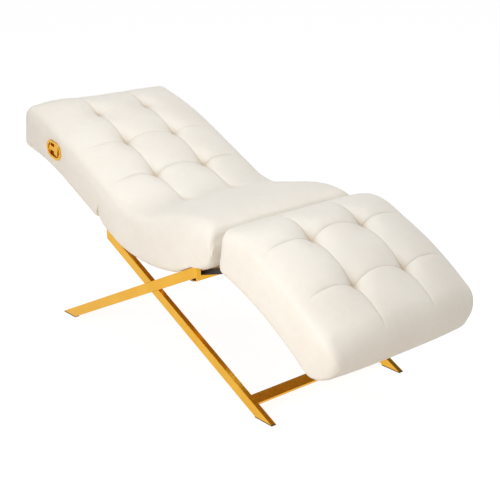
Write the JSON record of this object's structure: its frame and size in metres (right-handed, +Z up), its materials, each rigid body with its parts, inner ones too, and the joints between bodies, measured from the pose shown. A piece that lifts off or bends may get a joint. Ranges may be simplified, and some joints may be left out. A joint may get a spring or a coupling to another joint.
{
  "type": "beauty treatment chair",
  "caption": "Reclining beauty treatment bed: ivory tufted back, seat and leg rest on crossed gold legs, with a side release paddle and a gas spring.",
  "frame": {"origin": "on the floor, under the middle of the chair", "axes": "+X to the foot end, +Y to the left of the person lying on it, +Z up"},
  "size_m": [1.8348, 0.6763, 0.8499],
  "materials": {
    "gold": "polished gold plating over steel tube",
    "upholstery": "ivory matt leatherette over foam",
    "wood": "plain plywood and pine",
    "dark_steel": "black powder coat",
    "bright_steel": "zinc plated",
    "dark_plastic": "moulded black"
  },
  "bodies": {
    "base": {"long_bar_right": "gold", "long_bar_left": "gold", "upper_bar_right": "gold", "upper_bar_left": "gold", "lower_bar_right": "gold", "lower_bar_left": "gold", "foot_floor_bar": "gold", "head_floor_bar": "gold", "front_seat_bar": "gold", "rear_seat_bar": "gold", "seat_cushion": "upholstery", "seat_board": "wood", "seat_rail_right": "wood", "seat_rail_left": "wood", "seat_rear_rail": "wood", "seat_middle_rail": "wood", "seat_front_rail": "wood", "seat_deck": "wood", "seat_mount_blocks": "wood", "leg_bracket_right": "dark_steel", "leg_bracket_left": "dark_steel", "seat_hinge_plate_right": "dark_steel", "seat_hinge_plate_left": "dark_steel", "gas_lower_clevis": "dark_steel", "frame_bolts": "bright_steel", "gas_lower_pin": "bright_steel", "foot_caps": "dark_plastic"},
    "backrest": {"back_board": "wood", "back_rail_right": "wood", "back_rail_left": "wood", "back_head_rail": "wood", "back_lower_rail": "wood", "back_deck": "wood", "back_cushion": "upholstery", "back_hinge_plate_right": "dark_steel", "back_hinge_plate_left": "dark_steel", "back_hinge_pins": "bright_steel", "release_bezel": "gold", "release_cup": "gold", "release_cable": "dark_plastic", "cable_clips": "dark_plastic", "gas_upper_clevis": "dark_steel", "gas_upper_pin": "bright_steel", "paddle_pin": "bright_steel", "valve_lever_pin": "bright_steel"},
    "leg_rest": {"leg_board": "wood", "leg_rail_right": "wood", "leg_rail_left": "wood", "leg_rear_rail": "wood", "leg_foot_rail": "wood", "leg_deck": "wood", "leg_cushion": "upholstery", "leg_hinge_plate_right": "dark_steel", "leg_hinge_plate_left": "dark_steel", "leg_hinge_pins": "bright_steel"},
    "paddle": {"release_paddle": "gold"},
    "lever": {"valve_lever": "dark_steel"},
    "gas_barrel": {"gas_cylinder": "dark_steel"},
    "gas_shaft": {"gas_rod": "bright_steel"}
  },
  "joints": [
    {"name": "recline", "type": "hinge", "parent": "base", "child": "backrest", "pos_m": [-0.33738, 0, 0.61245], "axis": [0, 1, 0], "range_deg": [0, 40]},
    {"name": "leg_tilt", "type": "hinge", "parent": "base", "child": "leg_rest", "pos_m": [0.352, 0, 0.47], "axis": [0, 1, 0], "range_deg": [0, 30]},
    {"name": "paddle_pull", "type": "hinge", "parent": "backrest", "child": "paddle", "pos_m": [-0.69426, -0.3333, 0.71707], "axis": [-0.2079, 0, -0.9781], "range_deg": [0, 30], "stiffness_Nm_per_rad": 0.6},
    {"name": "valve_turn", "type": "hinge", "parent": "backrest", "child": "lever", "pos_m": [-0.45008, 0.0127, 0.5706], "axis": [0, 1, 0], "range_deg": [0, 14]},
    {"name": "gas_swing", "type": "hinge", "parent": "base", "child": "gas_barrel", "pos_m": [-0.193, 0, 0.455], "axis": [0, 1, 0], "range_deg": [0, 12.2]},
    {"name": "gas_slide", "type": "slide", "parent": "gas_barrel", "child": "gas_shaft", "axis": [-0.9124, 0, 0.4092], "range_m": [0, 0.048]}
  ],
  "couplings": [
    {"joint": "valve_turn", "follows": "paddle_pull", "ratio": 0.45},
    {"joint": "gas_swing", "follows": "recline", "ratio": 0.3},
    {"joint": "gas_slide", "follows": "recline", "m_per_rad": 0.06775}
  ]
}
